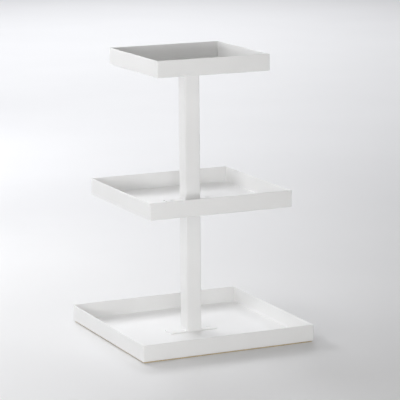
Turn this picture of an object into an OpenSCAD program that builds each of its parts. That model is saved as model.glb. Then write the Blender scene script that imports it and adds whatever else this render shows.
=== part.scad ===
// Three-tier cake stand: square folded trays on a square column, on four thin strips.
// Origin: on the table, under the centre of the stand. +Z is up, and the trays' sides run along X and Y.

/* [Trays] */
// Outside width of the bottom tray
bottom_w = 291; // [260:1:330]
// Outside width of the middle tray
middle_w = 240; // [200:1:250]
// Outside width of the top tray
top_w = 190; // [140:1:195]
// Height of a tray, from its underside to the edge of its walls
wall_h = 26.4; // [15:0.1:40]
// Thickness of the sheet that the trays are folded from
sheet_t = 1.2; // [0.8:0.1:1.6]
// Outside radius of the folds and of the upright corners
fold_r = 2; // [2:0.1:4]
// Height from the underside of one tray to the underside of the next
tier_h = 212; // [150:1:280]

/* [Column] */
// Side of the square tube
tube_w = 25.4; // [20:0.2:30]
// Wall of the square tube
tube_wall = 1.5; // [1:0.1:1.8]
// Outside radius of the tube's corners
tube_r = 2; // [1.9:0.1:4]
// Length of the strap that is welded across each end of a tube
strap_l = 82; // [76:1:110]
// Thickness of the straps
strap_t = 2; // [1.5:0.1:4]
// Radius of the straps' corners
strap_r = 2; // [1:0.1:5]

/* [Screws, rivets and nuts] */
// Distance between the two screws or rivets that hold a tray
screw_gap = 60; // [52:1:64]
// Diameter of the screws' thread and of the rivets' shanks
screw_d = 4; // [3:0.5:4]
// Diameter of the holes that they pass through
hole_d = 4.5; // [4.2:0.1:6]
// Diameter of the screws' and rivets' heads
head_d = 8; // [7:0.1:10]
// Height of the screws' and rivets' heads
head_h = 1.2; // [1:0.1:3]
// Diameter of the rivets' flattened ends, under the bottom tray
tail_d = 6; // [5:0.1:7]
// Thickness of the rivets' flattened ends
tail_h = 0.8; // [0.5:0.1:1]
// Width of the nuts across their flats
nut_w = 7; // [7:0.1:9]
// Thickness of the nuts
nut_t = 2.2; // [1.8:0.1:3.2]
// How far a screw's end stands out of its nut
screw_end = 0.6; // [0.2:0.1:0.8]

/* [Strips under the bottom tray] */
// Thickness of the strips that the stand rests on
strip_t = 1.5; // [1.3:0.1:6]
// Width of the strips
strip_w = 8; // [5:0.5:20]
// Distance from the tray's folds to the strips
strip_inset = 0.5; // [0.5:0.5:10]

/* [Hidden] */
$fn = 64;
// How far a cutter runs past the face that it cuts
cut = 1;
// Upright part of a screw head's rim, below its dome
head_rim = 0.4 * head_h;
// Length, width and depth of the slots that make the cross in a screw head
cross_size = [0.55 * head_d, 0.12 * head_d, 0.6 * head_h];
// Height of the chamfer on the nuts' corners
nut_chamfer = 0.15 * nut_t;
// Length of a tube between its two straps
tube_l = tier_h - sheet_t - 2 * strap_t;
// Distance from the stand's centre to the outer edge of the strips
strip_reach = bottom_w / 2 - fold_r - strip_inset;

// The trays are levels 0, 1 and 2, from the bottom to the top.
// Underside of the tray at a level
function tray_z(level) = strip_t + level * tier_h;
// Upper face of its floor
function floor_z(level) = tray_z(level) + sheet_t;
// Where the heads of its screws or rivets sit: on a foot strap, or in the top tray on its floor
function head_z(level) = floor_z(level) + (level < 2 ? strap_t : 0);
// Upper face of the nuts, which sit under the head strap below the middle or top tray
function nut_z(level) = tray_z(level) - strap_t;

// ---- Shapes that repeat ----

// A rectangle with round corners, centred
module round_rectangle(length, width, radius) {
    square([length - 2 * radius, width], center = true);
    square([length, width - 2 * radius], center = true);
    for (x = [-1, 1])
        for (y = [-1, 1])
            translate([x * (length / 2 - radius), y * (width / 2 - radius)])
                circle(r = radius);
}

// A square block on z = 0 with round upright edges, round lower edges and a flat top
module pan_block(width, height, radius) {
    reach = width / 2 - radius;
    translate([0, 0, radius])
        linear_extrude(height - radius)
            round_rectangle(width, width, radius);
    linear_extrude(2 * radius)
        square(2 * reach, center = true);
    for (turn = [0 : 90 : 270])
        rotate([0, 0, turn])
            translate([-reach, -reach, radius]) {
                rotate([0, 90, 0])
                    cylinder(r = radius, h = 2 * reach);
                sphere(r = radius);
            }
}

// Its children at the two places of a tray's screws or rivets
module at_screws(z) {
    for (side = [-1, 1])
        translate([side * screw_gap / 2, 0, z])
            children();
}

// ---- Parts ----

// A tray folded from one sheet, with its two holes
module tray(width, level) {
    color("whitesmoke")
        difference() {
            translate([0, 0, tray_z(level)])
                pan_block(width, wall_h, fold_r);
            translate([0, 0, floor_z(level)])
                pan_block(width - 2 * sheet_t, wall_h, fold_r - sheet_t);
            at_screws(tray_z(level) - cut)
                cylinder(d = hole_d, h = sheet_t + 2 * cut);
        }
}

// The square tube that stands on the foot strap of a level
module tube(level) {
    color("white")
        translate([0, 0, head_z(level)])
            linear_extrude(tube_l)
                difference() {
                    round_rectangle(tube_w, tube_w, tube_r);
                    round_rectangle(tube_w - 2 * tube_wall, tube_w - 2 * tube_wall, tube_r - tube_wall);
                }
}

// A flat strap with its lower face at z, as wide as the tube
module strap(z) {
    color("white")
        translate([0, 0, z])
            linear_extrude(strap_t)
                difference() {
                    round_rectangle(strap_l, tube_w, strap_r);
                    for (side = [-1, 1])
                        translate([side * screw_gap / 2, 0])
                            circle(d = hole_d);
                }
}

// The low domed head of a screw or rivet, on z = 0
module domed_head() {
    dome_h = head_h - head_rim;
    dome_r = (pow(head_d / 2, 2) + pow(dome_h, 2)) / (2 * dome_h);
    intersection() {
        cylinder(d = head_d, h = head_h);
        translate([0, 0, head_h - dome_r])
            sphere(r = dome_r);
    }
}

// A screw with a cross in its head and the shank below it
module screw(length) {
    difference() {
        domed_head();
        for (turn = [0, 90])
            rotate([0, 0, turn])
                translate([-cross_size[0] / 2, -cross_size[1] / 2, head_h - cross_size[2]])
                    cube(cross_size);
    }
    translate([0, 0, -length])
        cylinder(d = screw_d, h = length);
}

// The two screws of the middle or top tray
module screws(level) {
    color("silver")
        at_screws(head_z(level))
            screw(head_z(level) - nut_z(level) + nut_t + screw_end);
}

// A rivet through the bottom tray and the strap on it, flattened under the tray
module rivet() {
    grip = strap_t + sheet_t;
    domed_head();
    translate([0, 0, -grip])
        cylinder(d = screw_d, h = grip);
    translate([0, 0, -grip - tail_h])
        cylinder(d = tail_d, h = tail_h);
}

// The two rivets that join the lower tube's strap to the bottom tray
module rivets() {
    color("silver")
        at_screws(head_z(0))
            rivet();
}

// A thin hexagon nut with its upper face on z = 0, chamfered below
module nut() {
    corner_r = nut_w / 2 / cos(30);
    translate([0, 0, -nut_t])
        difference() {
            intersection() {
                cylinder(r = corner_r, h = nut_t, $fn = 6);
                rotate_extrude()
                    polygon([
                        [0, 0],
                        [nut_w / 2, 0],
                        [corner_r, nut_chamfer],
                        [corner_r, nut_t],
                        [0, nut_t]
                    ]);
            }
            translate([0, 0, -cut])
                cylinder(d = screw_d, h = nut_t + 2 * cut);
        }
}

// The two nuts of the middle or top tray
module nuts(level) {
    color("silver")
        at_screws(nut_z(level))
            nut();
}

// A strip under the front (-1) or back (1) edge of the bottom tray, from side to side
module long_strip(side) {
    color("tan")
        translate([0, side * (strip_reach - strip_w / 2), 0])
            linear_extrude(strip_t)
                square([2 * strip_reach, strip_w], center = true);
}

// A strip under the left (-1) or right (1) edge, between the two long ones
module short_strip(side) {
    color("tan")
        translate([side * (strip_reach - strip_w / 2), 0, 0])
            linear_extrude(strip_t)
                square([strip_w, 2 * (strip_reach - strip_w)], center = true);
}

tray(bottom_w, 0);  // bottom_tray
tray(middle_w, 1);  // middle_tray
tray(top_w, 2);  // top_tray
tube(0);  // lower_tube
tube(1);  // upper_tube
strap(floor_z(0));  // lower_foot_strap
strap(tray_z(1) - strap_t);  // lower_head_strap
strap(floor_z(1));  // upper_foot_strap
strap(tray_z(2) - strap_t);  // upper_head_strap
rivets();  // bottom_rivets
screws(1);  // middle_screws
screws(2);  // top_screws
nuts(1);  // middle_nuts
nuts(2);  // top_nuts
long_strip(-1);  // front_strip
long_strip(1);  // back_strip
short_strip(-1);  // left_strip
short_strip(1);  // right_strip
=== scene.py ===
"""Looks of the three-tier cake stand: detailed meshes, materials, floor, lights and camera.

Every piece is placed from the boxes of the CAD nodes. Lengths are in metres, +Z is up.
"""
import math

import bmesh
import bpy
from mathutils import Matrix, Vector, noise


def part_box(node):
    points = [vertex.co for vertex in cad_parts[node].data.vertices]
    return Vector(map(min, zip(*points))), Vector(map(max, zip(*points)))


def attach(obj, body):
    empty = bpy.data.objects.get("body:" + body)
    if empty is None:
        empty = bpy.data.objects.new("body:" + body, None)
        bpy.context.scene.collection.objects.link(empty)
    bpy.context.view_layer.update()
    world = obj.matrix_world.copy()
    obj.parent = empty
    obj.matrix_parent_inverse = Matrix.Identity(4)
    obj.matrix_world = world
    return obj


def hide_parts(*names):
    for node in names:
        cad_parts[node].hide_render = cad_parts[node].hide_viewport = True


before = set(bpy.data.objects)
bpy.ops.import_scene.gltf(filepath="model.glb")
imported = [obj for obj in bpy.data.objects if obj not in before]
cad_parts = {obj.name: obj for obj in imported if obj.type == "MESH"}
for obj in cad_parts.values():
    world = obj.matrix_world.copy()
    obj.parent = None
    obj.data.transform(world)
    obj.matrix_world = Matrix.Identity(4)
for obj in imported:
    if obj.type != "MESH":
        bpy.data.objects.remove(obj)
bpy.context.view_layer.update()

MM = 0.001

# ---- Sizes that the boxes of the CAD nodes don't give ----

FOLD_RADIUS = 2 * MM          # outside of a tray's folds and upright corners
TUBE_RADIUS = 2 * MM          # outside of a tube's corners
TUBE_WALL = 1.5 * MM
STRAP_CORNER = 2 * MM
HOLE_RADIUS = 2.25 * MM
SCREW_RADIUS = 2 * MM
SCREW_GAP = 60 * MM           # between the two screws or rivets of a tray
HEAD_RADIUS = 4 * MM
HEAD_HEIGHT = 1.2 * MM
RIM_HEIGHT = 0.48 * MM        # upright part of a head's rim, below its dome
TAIL_RADIUS = 3 * MM          # of a rivet's hammered end
THREAD_PITCH = 0.7 * MM
THREAD_DEPTH = 0.4 * MM
EDGE_RADIUS = 0.35 * MM       # what the coating leaves of a cut edge
WELD_LEG = 0.5 * MM
WAVE_DEPTH = 0.12 * MM        # how far a folded panel strays from flat
WAVE_LENGTH = 90 * MM
AXIS_GAP = 0.02 * MM          # radius that a turned outline leaves round its axis, for the cap to close
OVERRUN = 1 * MM              # how far a cutter runs past the faces that it cuts
TURNED_STEPS = 48             # sides of a turned screw or rivet
HOLE_STEPS = 40               # sides of a bored hole
SIDE_STEP = 12 * MM           # about how far apart the points along a tray's side are

# ---- The camera, where the stand is seen from ----

CAMERA_PLACE = (-1.3591, -3.0219, 0.8604)
CAMERA_HEADING, CAMERA_DIP, CAMERA_TILT = 24.492, 11.036, -0.495    # degrees
SENSOR_WIDTH, LENS = 36, 192                                        # millimetres

# ---- Colours of the lights ----

COOL = (0.985, 0.995, 1.03)
NEUTRAL = (1, 1, 1)
WARM = (1.015, 1, 0.97)


# ---- Meshes ----

def arc(centre, radius, start, end, steps):
    """Points on an arc in a plane, from one angle to another in degrees."""
    turns = [math.radians(start + (end - start) * i / steps) for i in range(steps + 1)]
    return [(centre[0] + radius * math.cos(t), centre[1] + radius * math.sin(t)) for t in turns]


def rounded_rectangle(half_x, half_y, radius, side_steps, corner_steps=6):
    """A closed outline with round corners, anticlockwise, with each side cut into equal steps."""
    corners = [(1, 1, 0), (-1, 1, 90), (-1, -1, 180), (1, -1, 270)]
    arcs = [arc((x * (half_x - radius), y * (half_y - radius)), radius, a, a + 90, corner_steps)
            for x, y, a in corners]
    points = []
    for this, following in zip(arcs, arcs[1:] + arcs[:1]):
        points += this
        start, end = this[-1], following[0]
        for i in range(1, side_steps):
            share = i / side_steps
            x = start[0] + (end[0] - start[0]) * share
            y = start[1] + (end[1] - start[1]) * share
            points.append((x, y))
    return points


def join_rings(bm, rings, loop=False):
    """Quads between rings of equal length.

    A loop joins the last ring to the first; otherwise both ends are capped.
    """
    made = [[bm.verts.new(point) for point in ring] for ring in rings]
    count = len(made[0])
    pairs = list(zip(made, made[1:]))
    if loop:
        pairs.append((made[-1], made[0]))
    for below, above in pairs:
        for i in range(count):
            j = (i + 1) % count
            bm.faces.new((below[i], below[j], above[j], above[i]))
    if not loop:
        bm.faces.new(reversed(made[0]))
        bm.faces.new(made[-1])


def to_object(name, bm, sharp=35):
    """An object of that bmesh, shaded smooth except across edges sharper than the angle in degrees."""
    bmesh.ops.recalc_face_normals(bm, faces=bm.faces)
    mesh = bpy.data.meshes.new(name)
    bm.to_mesh(mesh)
    bm.free()
    for polygon in mesh.polygons:
        polygon.use_smooth = True
    mesh.set_sharp_from_angle(angle=math.radians(sharp))
    made = bpy.data.objects.new(name, mesh)
    bpy.context.scene.collection.objects.link(made)
    return made


def keep_flats_flat(piece):
    """Weighted normals, so that the shading of a fold doesn't bleed into the panels beside it."""
    modifier = piece.modifiers.new("flat panels", "WEIGHTED_NORMAL")
    modifier.keep_sharp = True
    modifier.weight = 100


def lathe(bm, profile, steps, centre):
    """A solid turned about a vertical axis. The profile runs from one end of the axis to the other."""
    turns = [2 * math.pi * i / steps for i in range(steps)]
    rings = []
    for radius, z in profile:
        rings.append([(centre[0] + radius * math.cos(t), centre[1] + radius * math.sin(t), z) for t in turns])
    join_rings(bm, rings)


def cut_away(piece, cutter):
    """Takes the cutter's volume out of the piece and deletes the cutter."""
    modifier = piece.modifiers.new("cut", "BOOLEAN")
    modifier.object = cutter
    modifier.operation = "DIFFERENCE"
    modifier.solver = "EXACT"
    bpy.context.view_layer.update()
    shape = piece.evaluated_get(bpy.context.evaluated_depsgraph_get())
    mesh = bpy.data.meshes.new_from_object(shape)
    piece.modifiers.remove(modifier)
    old = piece.data
    piece.data = mesh
    bpy.data.meshes.remove(old)
    bpy.data.objects.remove(cutter)


def screw_places():
    """The two places of a tray's screws or rivets, left and right of the column."""
    return [(-SCREW_GAP / 2, 0), (SCREW_GAP / 2, 0)]


def bore_screw_holes(piece, low, high):
    """Bores the holes of the two screws through a piece that runs from one height to another."""
    cutter = bmesh.new()
    for place in screw_places():
        lathe(cutter, [(HOLE_RADIUS, low - OVERRUN), (HOLE_RADIUS, high + OVERRUN)], HOLE_STEPS, place)
    cut_away(piece, to_object("hole_cutter", cutter))


def wave(x, y, seed):
    """From 0 to 1: how far a point of a folded panel strays from flat."""
    stretch = 0.9                 # brings the noise to about half of the span each way
    height = noise.noise(Vector((x / WAVE_LENGTH, y / WAVE_LENGTH, seed)))
    return min(max(0.5 + stretch * height, 0), 1)


# ---- The pieces ----

def tray_section(sheet, height):
    """A tray's section from the fold under it, over the rim, to the fold inside it, as (inset, height)."""
    wall_steps = 5
    fold = (FOLD_RADIUS, FOLD_RADIUS)
    rim = height - EDGE_RADIUS
    rise = (rim - FOLD_RADIUS) / wall_steps
    outer_wall = [(0, FOLD_RADIUS + rise * i) for i in range(1, wall_steps)]
    inner_wall = [(sheet, z) for _, z in reversed(outer_wall)]
    section = arc(fold, FOLD_RADIUS, 270, 180, 8) + outer_wall
    section += arc((EDGE_RADIUS, rim), EDGE_RADIUS, 180, 90, 4)
    section += arc((sheet - EDGE_RADIUS, rim), EDGE_RADIUS, 90, 0, 4)
    return section + inner_wall + arc(fold, FOLD_RADIUS - sheet, 180, 270, 6)


def warp_tray(bm, half, bottom, height, seed):
    """Moves the floor and walls of a tray a little off flat. The outside only moves inwards."""
    held_edge, held_middle = 20 * MM, 60 * MM
    for vert in bm.verts:
        x, y, z = vert.co
        reach = max(abs(x), abs(y))
        if reach < half - FOLD_RADIUS:
            # The floor is held flat by its folds and by the strap in the middle.
            free = min(1, (half - FOLD_RADIUS - reach) / held_edge)
            free *= min(1, Vector((x, y)).length / held_middle)
            vert.co.z += WAVE_DEPTH * free * (wave(x, y, seed) - 0.5)
        elif z > bottom + FOLD_RADIUS:
            # A wall only leans inwards, and more towards its rim.
            lift = (z - bottom) / height
            along = y if abs(x) > abs(y) else x
            shrink = 1 - WAVE_DEPTH * lift * wave(along, 10 * half + x + y, seed + 3) / half
            vert.co.x *= shrink
            vert.co.y *= shrink


def tray(level, sheet, seed):
    """A tray folded from one sheet: round folds, soft rim, and floor and walls that aren't perfectly flat."""
    low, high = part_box(f"{level}_tray")
    half = (high.x - low.x) / 2
    height = high.z - low.z
    side_steps = round(2 * half / SIDE_STEP)
    least_radius = 0.2 * MM       # keeps the corners of the rings round where a fold meets the floor
    rings = []
    for inset, z in tray_section(sheet, height):
        radius = max(FOLD_RADIUS - inset, least_radius)
        ring = rounded_rectangle(half - inset, half - inset, radius, side_steps)
        rings.append([(x, y, low.z + z) for x, y in ring])
    floor_steps = 14
    shares = [i / floor_steps for i in range(floor_steps - 1, 0, -1)]
    inward = [[(x * s, y * s, z) for x, y, z in rings[-1]] for s in shares]
    below = [[(x * s, y * s, z) for x, y, z in rings[0]] for s in reversed(shares)]
    bm = bmesh.new()
    join_rings(bm, below + rings + inward)
    warp_tray(bm, half, low.z, height, seed)
    made = to_object(f"{level}_tray_sheet", bm)
    bore_screw_holes(made, low.z, low.z + sheet)
    keep_flats_flat(made)
    return made


def tube(node):
    """A square tube with soft outer corners, open at both ends."""
    low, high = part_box(node)
    half = (high.x - low.x) / 2
    steps = 24
    heights = [low.z + (high.z - low.z) * i / steps for i in range(steps + 1)]
    outer = rounded_rectangle(half, half, TUBE_RADIUS, 4, 8)
    inside = rounded_rectangle(half - TUBE_WALL, half - TUBE_WALL, TUBE_RADIUS - TUBE_WALL, 4, 8)
    rings = [[(x, y, z) for x, y in outer] for z in heights]
    rings += [[(x, y, z) for x, y in inside] for z in reversed(heights)]
    bm = bmesh.new()
    join_rings(bm, rings, loop=True)
    made = to_object(f"{node}_wall", bm)
    keep_flats_flat(made)
    return made


def strap(node):
    """A flat bar with cut edges softened by the coating, and a hole for each screw."""
    low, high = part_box(node)
    half_x, half_y = (high.x - low.x) / 2, (high.y - low.y) / 2
    section = arc((EDGE_RADIUS, low.z + EDGE_RADIUS), EDGE_RADIUS, 270, 180, 4)
    section += arc((EDGE_RADIUS, high.z - EDGE_RADIUS), EDGE_RADIUS, 180, 90, 4)
    rings = []
    for inset, z in section:
        outline = rounded_rectangle(half_x - inset, half_y - inset, STRAP_CORNER - inset, 1, 8)
        rings.append([(x, y, z) for x, y in outline])
    bm = bmesh.new()
    join_rings(bm, rings)
    made = to_object(f"{node}_bar", bm)
    bore_screw_holes(made, low.z, high.z)
    keep_flats_flat(made)
    return made


def weld_beads(name, tube_node, strap_node):
    """The two coated fillet welds of a tube's head: one bead along each side where the strap runs on."""
    low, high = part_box(tube_node)
    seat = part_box(strap_node)[0].z
    half = (high.x - low.x) / 2
    run = half - TUBE_RADIUS
    buried = 0.3 * MM             # how far a bead reaches into the tube and the strap
    hollow = 0.62                 # how deep the bead's face curves in, as a share of its leg
    ripples, ripple_depth = 15, 0.10
    blunt = 0.02                  # share of a bead's length where its ends stop tapering
    stations = 44
    bm = bmesh.new()
    for side in (-1, 1):
        rings = []
        for i in range(stations + 1):
            share = i / stations
            y = -run + 2 * run * share
            ripple = 1 + ripple_depth * math.sin(2 * math.pi * share * ripples) * math.sin(math.pi * share)
            taper = math.sin(math.pi * min(max(share, blunt), 1 - blunt)) ** 0.35
            leg = WELD_LEG * ripple * taper
            section = [(-buried, -buried), (leg, -buried), (leg, 0)]
            section += [(leg * (1 - hollow * math.sin(t)), leg * (1 - hollow * math.cos(t)))
                        for t in (math.radians(15 + 10 * k) for k in range(7))]
            section += [(0, leg), (-buried, leg)]
            rings.append([(side * (half + out), y, seat - height) for out, height in section])
        join_rings(bm, rings)
    return to_object(name, bm, sharp=60)


def domed_head(seat):
    """The outline of a low domed head that sits at that height, from its top to its seat."""
    dome = HEAD_HEIGHT - RIM_HEIGHT
    dome_radius = (HEAD_RADIUS ** 2 + dome ** 2) / (2 * dome)
    edge = math.degrees(math.asin(HEAD_RADIUS / dome_radius))
    chamfer = 0.15 * MM
    soft_in, soft_down = 0.06 * MM, 0.1 * MM
    outline = arc((0, seat + HEAD_HEIGHT - dome_radius), dome_radius, 90, 90 - edge, 12)
    outline = [(max(r, AXIS_GAP), z) for r, z in outline][:-1]
    # The dome meets the rim over a small soft edge.
    outline += [(HEAD_RADIUS - soft_in, seat + RIM_HEIGHT), (HEAD_RADIUS, seat + RIM_HEIGHT - soft_down)]
    return outline + [(HEAD_RADIUS, seat + chamfer), (HEAD_RADIUS - chamfer, seat)]


def screws(level):
    """Two low domed machine screws: cross recess, rounded rim and a ridged thread with a chamfered end."""
    low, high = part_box(f"{level}_screws")
    seat = high.z - HEAD_HEIGHT
    root = SCREW_RADIUS - THREAD_DEPTH
    undercut, half_crest = 0.2 * MM, 0.05 * MM
    lead = 0.4 * MM               # height of the chamfer at the end
    thread = [(SCREW_RADIUS, seat), (root, seat - undercut)]
    z = seat - undercut - THREAD_PITCH / 2
    while z > low.z + THREAD_PITCH:
        thread += [(SCREW_RADIUS, z + half_crest), (SCREW_RADIUS, z - half_crest)]
        thread.append((root, z - THREAD_PITCH / 2))
        z -= THREAD_PITCH
    tip = [(SCREW_RADIUS - 0.1 * MM, low.z + lead), (root - 0.2 * MM, low.z), (AXIS_GAP, low.z)]
    bm = bmesh.new()
    for place in screw_places():
        lathe(bm, domed_head(seat) + thread + tip, TURNED_STEPS, place)
    made = to_object(f"{level}_screw_pair", bm, sharp=30)
    # One arm of the crosses at a time, because a cutter that crosses itself would take everything.
    for turn in (20, 110):
        cutter = bmesh.new()
        for place in screw_places():
            cross_arm(cutter, place, high.z, turn)
        cut_away(made, to_object("cross_cutter", cutter))
    return made


def rivets(level):
    """Two rivets: a domed head, a plain shank and a hammered tail under the tray."""
    low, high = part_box(f"{level}_rivets")
    seat = high.z - HEAD_HEIGHT
    tray_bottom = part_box(f"{level}_tray")[0].z
    soft = 0.1 * MM
    shank = [(SCREW_RADIUS, seat), (SCREW_RADIUS, tray_bottom)]
    # The tail narrows a little towards its hammered face.
    tail = [(TAIL_RADIUS - soft, tray_bottom), (TAIL_RADIUS, tray_bottom - soft)]
    tail += [(TAIL_RADIUS - 0.25 * MM, low.z + soft), (TAIL_RADIUS - 0.6 * MM, low.z), (AXIS_GAP, low.z)]
    bm = bmesh.new()
    for place in screw_places():
        lathe(bm, domed_head(seat) + shank + tail, TURNED_STEPS, place)
    return to_object(f"{level}_rivet_pair", bm, sharp=30)


def cross_arm(bm, place, top, turn):
    """One arm of a screw head's cross: a bar that narrows as it goes down."""
    reach, half_width, depth = 2.2 * MM, 0.45 * MM, 0.72 * MM
    rings = []
    for share, z in ((0.45, top - depth), (1, top), (1.05, top + 0.3 * MM)):    # share of the full reach
        corners = [(reach * share, half_width), (-reach * share, half_width),
                   (-reach * share, -half_width), (reach * share, -half_width)]
        spin = Matrix.Rotation(math.radians(turn), 2)
        turned = [spin @ Vector(corner) for corner in corners]
        rings.append([(place[0] + v.x, place[1] + v.y, z) for v in turned])
    join_rings(bm, rings)


def nuts(level):
    """Two thin hexagon nuts with the corners turned off on both faces and a bore for the screw."""
    low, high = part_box(f"{level}_nuts")
    flat = (high.y - low.y) / 2
    corner = flat / math.cos(math.radians(30))
    chamfer = 0.33 * MM
    steps = 72
    turns = [2 * math.pi * i / steps for i in range(steps)]
    faces = [(low.z, flat), (low.z + chamfer, corner), (high.z - chamfer, corner), (high.z, flat)]
    bm = bmesh.new()
    for x, y in screw_places():
        rings = []
        for z, reach in faces:
            ring = []
            for turn in turns:
                off_flat = (turn + math.pi / 6) % (math.pi / 3) - math.pi / 6
                radius = min(flat / math.cos(off_flat), reach)
                # A flat faces +Y, so the corners point along X.
                ring.append((x + radius * math.sin(turn), y + radius * math.cos(turn), z))
            rings.append(ring)
        bore = [[(x + SCREW_RADIUS * math.sin(t), y + SCREW_RADIUS * math.cos(t), z) for t in turns]
                for z in (high.z, low.z)]
        join_rings(bm, rings + bore, loop=True)
    return to_object(f"{level}_nut_pair", bm, sharp=25)


def edge_strip(node, seed):
    """A strip cut from a sheet of cork and rubber, with soft edges that the granules make uneven."""
    low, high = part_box(node)
    along_x = high.x - low.x > high.y - low.y
    middle = (low + high) / 2
    size = high - low
    half_length, half_width = max(size.x, size.y) / 2, min(size.x, size.y) / 2
    edge = 0.25 * MM              # radius of the soft edges
    granule = 1.5 * MM
    uneven = 0.12 * MM            # how far the sides stray inwards
    section = arc((half_width - edge, low.z + edge), edge, 270, 360, 3)
    section += arc((half_width - edge, high.z - edge), edge, 0, 90, 3)
    section += [(-across, z) for across, z in reversed(section)]
    rings = []
    steps = 180
    for i in range(steps + 1):
        place = (2 * i / steps - 1) * half_length
        ring = []
        for across, z in section:
            rough = noise.noise(Vector((place / granule, across / MM, seed + z / MM)))
            inward = 1 - uneven * (0.5 + 0.5 * rough) / half_width
            ring.append((place, across * inward, z) if along_x else (-across * inward, place, z))
        rings.append([(middle.x + x, middle.y + y, z) for x, y, z in ring])
    bm = bmesh.new()
    join_rings(bm, rings)
    return to_object(f"{node}_cork", bm)


# ---- Materials ----

def add_node(tree, kind, **values):
    """A shader node with its settings; a name that is an input of the node sets that input."""
    node = tree.nodes.new(kind)
    for name, value in values.items():
        if hasattr(node, name):
            setattr(node, name, value)
        else:
            node.inputs[name.replace("_", " ")].default_value = value
    return node


def start_material(name):
    """A material, its node tree and its Principled shader."""
    material = bpy.data.materials.new(name)
    material.use_nodes = True
    tree = material.node_tree
    return material, tree, tree.nodes["Principled BSDF"]


def noise_of(tree, place, scale, detail):
    """A noise texture in the object's own space. Its scale is in cells per metre."""
    node = add_node(tree, "ShaderNodeTexNoise", Scale=scale, Detail=detail)
    tree.links.new(place.outputs["Object"], node.inputs["Vector"])
    return node.outputs["Fac"]


def mapped(tree, value, low, high, start=0.3, end=0.7):
    """A noise value stretched from its usual span onto a new one."""
    node = add_node(tree, "ShaderNodeMapRange")
    tree.links.new(value, node.inputs["Value"])
    for name, number in (("From Min", start), ("From Max", end), ("To Min", low), ("To Max", high)):
        node.inputs[name].default_value = number
    return node.outputs["Result"]


def colour_between(tree, value, first, second):
    """A colour that runs from the first to the second as the value goes from 0 to 1."""
    node = add_node(tree, "ShaderNodeMix", data_type="RGBA")
    tree.links.new(value, node.inputs["Factor"])
    start, end = (socket for socket in node.inputs if socket.type == "RGBA")
    start.default_value = (*first, 1)
    end.default_value = (*second, 1)
    return next(socket for socket in node.outputs if socket.type == "RGBA")


def bumped(tree, layers):
    """A normal from several height layers, each (height socket, strength, depth in metres)."""
    normal = None
    for height, strength, depth in layers:
        node = add_node(tree, "ShaderNodeBump", Strength=strength, Distance=depth)
        tree.links.new(height, node.inputs["Height"])
        if normal is not None:
            tree.links.new(normal, node.inputs["Normal"])
        normal = node.outputs["Normal"]
    return normal


def powder_coat(name):
    """White semi-gloss powder coat: a faint orange peel with finer grain, and a slight drift of tone."""
    material, tree, shader = start_material(name)
    place = add_node(tree, "ShaderNodeTexCoord")
    drift = mapped(tree, noise_of(tree, place, scale=14, detail=3), 0, 1)
    white = colour_between(tree, drift, (0.870, 0.870, 0.867), (0.886, 0.886, 0.884))
    tree.links.new(white, shader.inputs["Base Color"])
    # The denoiser leaves blotches where a roughness crosses about 0.27, so this one stays above it.
    gloss = mapped(tree, noise_of(tree, place, scale=45, detail=4), 0.285, 0.33)
    tree.links.new(gloss, shader.inputs["Roughness"])
    peel = noise_of(tree, place, scale=420, detail=2)
    grain = noise_of(tree, place, scale=2200, detail=2)
    heights = [(peel, 0.25, 0.02 * MM), (grain, 0.2, 0.004 * MM)]
    tree.links.new(bumped(tree, heights), shader.inputs["Normal"])
    shader.inputs["IOR"].default_value = 1.4
    return material


def zinc_plate(name):
    """Bright zinc plating on small turned parts: metal with a cloudy sheen and turning marks."""
    material, tree, shader = start_material(name)
    place = add_node(tree, "ShaderNodeTexCoord")
    cloud = mapped(tree, noise_of(tree, place, scale=260, detail=3), 0, 1)
    colour = colour_between(tree, cloud, (0.63, 0.65, 0.68), (0.76, 0.76, 0.75))
    tree.links.new(colour, shader.inputs["Base Color"])
    polish = mapped(tree, noise_of(tree, place, scale=900, detail=3), 0.22, 0.4)
    tree.links.new(polish, shader.inputs["Roughness"])
    marks = noise_of(tree, place, scale=5200, detail=2)
    tree.links.new(bumped(tree, [(marks, 0.35, 0.01 * MM)]), shader.inputs["Normal"])
    shader.inputs["Metallic"].default_value = 1
    return material


def cork_rubber(name):
    """Cork granules bound with rubber: each granule has its own brown, and stands a little proud. The brown
    also tints the dark contact line under the bottom tray, so it is partly painted shade.
    """
    material, tree, shader = start_material(name)
    place = add_node(tree, "ShaderNodeTexCoord")
    granules = add_node(tree, "ShaderNodeTexVoronoi", Scale=900)
    tree.links.new(place.outputs["Object"], granules.inputs["Vector"])
    split = add_node(tree, "ShaderNodeSeparateColor")
    tree.links.new(granules.outputs["Color"], split.inputs["Color"])
    # Partly painted shade: besides being the cork's own colour, these browns give the contact line under the
    # bottom tray its brown tint.
    colour = colour_between(tree, split.outputs["Red"], (0.42, 0.30, 0.14), (0.68, 0.54, 0.29))
    tree.links.new(colour, shader.inputs["Base Color"])
    tree.links.new(mapped(tree, split.outputs["Green"], 0.75, 0.95, 0, 1), shader.inputs["Roughness"])
    grain = noise_of(tree, place, scale=4000, detail=2)
    heights = [(granules.outputs["Distance"], 0.4, 0.08 * MM), (grain, 0.4, 0.02 * MM)]
    tree.links.new(bumped(tree, heights), shader.inputs["Normal"])
    return material


def paper_floor(name):
    """The pale smooth floor, with a slight sheen."""
    material, tree, shader = start_material(name)
    place = add_node(tree, "ShaderNodeTexCoord")
    drift = mapped(tree, noise_of(tree, place, scale=3, detail=2), 0, 1)
    white = colour_between(tree, drift, (0.80, 0.80, 0.803), (0.815, 0.815, 0.818))
    tree.links.new(white, shader.inputs["Base Color"])
    shader.inputs["Roughness"].default_value = 0.45
    return material


# ---- The stand ----

def dress(piece, material, slot_name, *nodes):
    """Gives a piece its material, hides the CAD nodes that it stands for, and sets it on the stand. The slot
    name is not used.
    """
    piece.data.materials.clear()
    piece.data.materials.append(material)
    if nodes:
        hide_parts(*nodes)
    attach(piece, "root")


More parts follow.
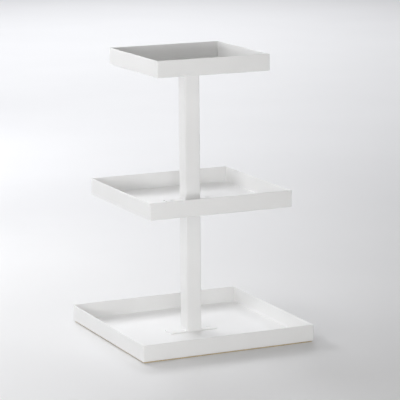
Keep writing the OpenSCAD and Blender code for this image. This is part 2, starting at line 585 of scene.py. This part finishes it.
def build_stand():
    """Every piece of the stand, from the table up."""
    tray_white = powder_coat("tray_white")
    column_white = powder_coat("column_white")
    fastener_white = powder_coat("fastener_white")
    zinc = zinc_plate("zinc")
    cork_and_contact_shade = cork_rubber("cork_and_contact_shade")
    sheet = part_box("lower_foot_strap")[0].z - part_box("bottom_tray")[0].z
    for level, seed in (("bottom", 11), ("middle", 18), ("top", 25)):
        dress(tray(level, sheet, seed), tray_white, "tray_coat", f"{level}_tray")
    dress(rivets("bottom"), fastener_white, "fastener_coat", "bottom_rivets")
    for level in ("middle", "top"):
        dress(screws(level), fastener_white, "fastener_coat", f"{level}_screws")
        dress(nuts(level), zinc, "zinc_steel", f"{level}_nuts")
    for part in ("lower", "upper"):
        dress(tube(f"{part}_tube"), column_white, "column_coat", f"{part}_tube")
        for end in ("foot", "head"):
            dress(strap(f"{part}_{end}_strap"), column_white, "column_coat", f"{part}_{end}_strap")
        beads = weld_beads(f"{part}_head_welds", f"{part}_tube", f"{part}_head_strap")
        dress(beads, column_white, "column_coat")
    # Partly painted shade: the brown of these strips tints the dark line where the bottom tray meets the
    # floor.
    for side, seed in (("front", 50), ("back", 59), ("left", 68), ("right", 77)):
        dress(edge_strip(f"{side}_strip", seed), cork_and_contact_shade, "cork_rubber", f"{side}_strip")


# ---- Floor, light and camera ----

def lay_floor():
    """A wide round floor under the stand."""
    bm = bmesh.new()
    bmesh.ops.create_circle(bm, cap_ends=True, radius=40, segments=128)
    floor = to_object("floor", bm)
    floor.data.materials.append(paper_floor("pale_floor"))


def softbox(name, place, target, size, power, colour):
    """A rectangular light that faces its target and isn't seen itself: metres and watts."""
    data = bpy.data.lights.new(name, "AREA")
    data.shape = "RECTANGLE"
    data.size, data.size_y = size
    data.energy = power
    data.color = colour
    made = bpy.data.objects.new(name, data)
    made.location = place
    made.rotation_euler = (Vector(target) - Vector(place)).to_track_quat("-Z", "Y").to_euler()
    made.visible_camera = False
    bpy.context.scene.collection.objects.link(made)


def light_studio():
    """Soft studio light: panels over the floor, small softboxes round the stand and a pale room."""
    world = bpy.data.worlds.new("studio")
    world.use_nodes = True
    world.node_tree.nodes["Background"].inputs["Color"].default_value = (1, 0.99, 0.97, 1)
    world.node_tree.nodes["Background"].inputs["Strength"].default_value = 0.12
    bpy.context.scene.world = world
    # Panels over the floor all round, which face straight down
    for name, place, size, power, colour in (
            ("panel_back_left", (-0.75, 2.5, 2), (2, 2), 35, COOL),
            ("panel_back_right", (1.25, 2.5, 2), (2, 2), 19, COOL),
            ("panel_far_left", (-0.15, 4.5, 2), (2, 2), 20, COOL),
            ("panel_far_right", (1.85, 4.5, 2), (2, 2), 43, COOL),
            ("panel_front", (-0.5, -5, 2.4), (6, 3.5), 72, WARM),
            ("panel_left", (-5, 0, 2.4), (3.5, 6), 45, WARM),
            ("panel_right", (5, 0, 2.4), (3.5, 6), 45, WARM)):
        softbox(name, place, (place[0], place[1], 0), size, power, colour)
    # Softboxes that face the stand
    for name, place, size, power, colour in (
            ("box_left", (-1.4, -1, 0.45), (0.55, 0.2), 7.7, NEUTRAL),
            ("box_front_left", (-0.6, -1.6, 0.45), (0.55, 0.2), 4.1, NEUTRAL),
            ("box_front_right", (0.7, -1.6, 0.45), (0.55, 0.2), 1.7, NEUTRAL),
            ("box_back", (-0.4, 2.15, 0.8), (0.6, 0.2), 6.2, COOL),
            ("box_back_left", (-0.6, 1.6, 0.9), (0.55, 0.3), 3.7, COOL),
            ("box_top", (-0.3, 0.15, 0.98), (0.32, 0.32), 1.3, NEUTRAL),
            ("box_low", (-0.3, 0.8, 0.55), (0.32, 0.32), 1.5, NEUTRAL)):
        softbox(name, place, (0, 0, 0.25), size, power, colour)


def place_camera():
    """The camera, turned to its heading, tipped down by its dip and rolled by its tilt."""
    data = bpy.data.cameras.new("camera")
    data.sensor_width = SENSOR_WIDTH
    data.lens = LENS
    camera = bpy.data.objects.new("camera", data)
    heading, dip, tilt = (math.radians(a) for a in (CAMERA_HEADING, CAMERA_DIP, CAMERA_TILT))
    turn = Matrix.Rotation(-heading, 4, "Z") @ Matrix.Rotation(math.pi / 2 - dip, 4, "X")
    turn = turn @ Matrix.Rotation(tilt, 4, "Z")
    camera.matrix_world = Matrix.Translation(CAMERA_PLACE) @ turn
    bpy.context.scene.collection.objects.link(camera)
    bpy.context.scene.camera = camera


build_stand()
lay_floor()
light_studio()
place_camera()
bpy.context.scene.view_settings.view_transform = "Standard"
